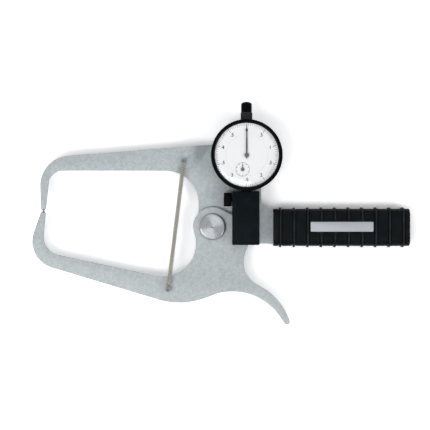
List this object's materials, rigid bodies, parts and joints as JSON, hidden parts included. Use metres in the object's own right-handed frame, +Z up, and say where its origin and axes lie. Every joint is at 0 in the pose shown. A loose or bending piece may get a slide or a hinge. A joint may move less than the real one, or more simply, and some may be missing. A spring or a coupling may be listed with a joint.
{
  "type": "outside dial caliper gauge",
  "caption": "Hand-held outside dial caliper with a fixed jaw frame, a spring-closed swinging jaw with finger lever, a plunger dial indicator and a ribbed grip.",
  "frame": {"origin": "middle of the bounding box on the surface that the gauge lies on, face up", "axes": "+X along the grip away from the jaws, +Y towards the indicator, +Z up out of the dial"},
  "size_m": [0.3012, 0.1774, 0.0338],
  "materials": {
    "frame_paint": "fine hammered grey enamel on steel plate",
    "jaw_paint": "fine hammered grey enamel on steel plate",
    "steel": "turned and ground steel",
    "carbide": "dark ground hard metal",
    "spring_steel": "drawn spring wire",
    "black_metal": "satin black",
    "bezel_black": "semi-gloss black",
    "grip_black": "moulded black plastic",
    "label": "bare brushed aluminium plate",
    "brass": "dull machined brass",
    "dial": "white dial with black graduations",
    "hand": "matt black hand",
    "crystal": "clear domed crystal"
  },
  "bodies": {
    "frame": {"frame_plate": "frame_paint", "upper_contact": "carbide", "upper_spring_post": "steel", "pivot_stud": "steel", "pivot_washer": "brass", "pivot_nut": "steel", "tension_spring": "spring_steel", "indicator_housing": "black_metal", "housing_screw_1": "steel", "housing_screw_2": "steel", "indicator_case": "black_metal", "case_back": "steel", "case_screw_1": "steel", "case_screw_2": "steel", "case_screw_3": "steel", "case_screw_4": "steel", "movement_plate": "brass", "stem": "steel", "top_collar": "black_metal", "dial_centre": "dial", "grip_front": "grip_black", "grip_back": "grip_black", "grip_screw_1": "steel", "grip_screw_2": "steel", "grip_screw_3": "steel", "label_plate": "label"},
    "swing_jaw": {"lower_jaw": "jaw_paint", "lower_contact": "carbide", "lower_spring_post": "steel", "pivot_bush": "brass", "lift_pin": "steel"},
    "plunger": {"spindle": "steel", "contact_point": "steel", "spindle_cap": "bezel_black"},
    "counter": {"counter_arbor": "brass", "counter_hand": "hand"},
    "pointer": {"centre_arbor": "brass", "main_hand": "hand"},
    "bezel_group": {"bezel": "bezel_black", "crystal": "crystal", "dial_ring": "dial"},
    "clamp": {"clamp_screw": "black_metal"}
  },
  "joints": [
    {"name": "jaw_pivot", "type": "hinge", "parent": "frame", "child": "swing_jaw", "pos_m": [-0.00693, -0.01063, 0.0144], "axis": [0, 0, 1], "range_deg": [0, 14.82], "stiffness_Nm_per_rad": 0.25, "springref_deg": -51.57, "deforming": ["tension_spring"]},
    {"name": "spindle_slide", "type": "slide", "parent": "frame", "child": "plunger", "axis": [0, 1, 0], "range_m": [0, 0.007]},
    {"name": "counter_turn", "type": "hinge", "parent": "frame", "child": "counter", "pos_m": [0.0169, 0.03471, 0.027], "axis": [0, 0, 1], "range_deg": [0, 252]},
    {"name": "pointer_turn", "type": "hinge", "parent": "frame", "child": "pointer", "pos_m": [0.02009, 0.04597, 0.028], "axis": [0, 0, 1], "range_deg": [-2520, 0]},
    {"name": "bezel_turn", "type": "hinge", "parent": "frame", "child": "bezel_group", "pos_m": [0.02009, 0.04597, 0.03], "axis": [0, 0, 1], "continuous": true},
    {"name": "clamp_screw_turn", "type": "hinge", "parent": "frame", "child": "clamp", "pos_m": [0.00557, 0.01097, 0.0215], "axis": [1, 0, 0], "range_deg": [-360, 0]}
  ],
  "couplings": [
    {"joint": "spindle_slide", "follows": "jaw_pivot", "m_per_rad": 0.02702},
    {"joint": "counter_turn", "follows": "jaw_pivot", "ratio": 16.977},
    {"joint": "pointer_turn", "follows": "jaw_pivot", "ratio": -169.77}
  ]
}
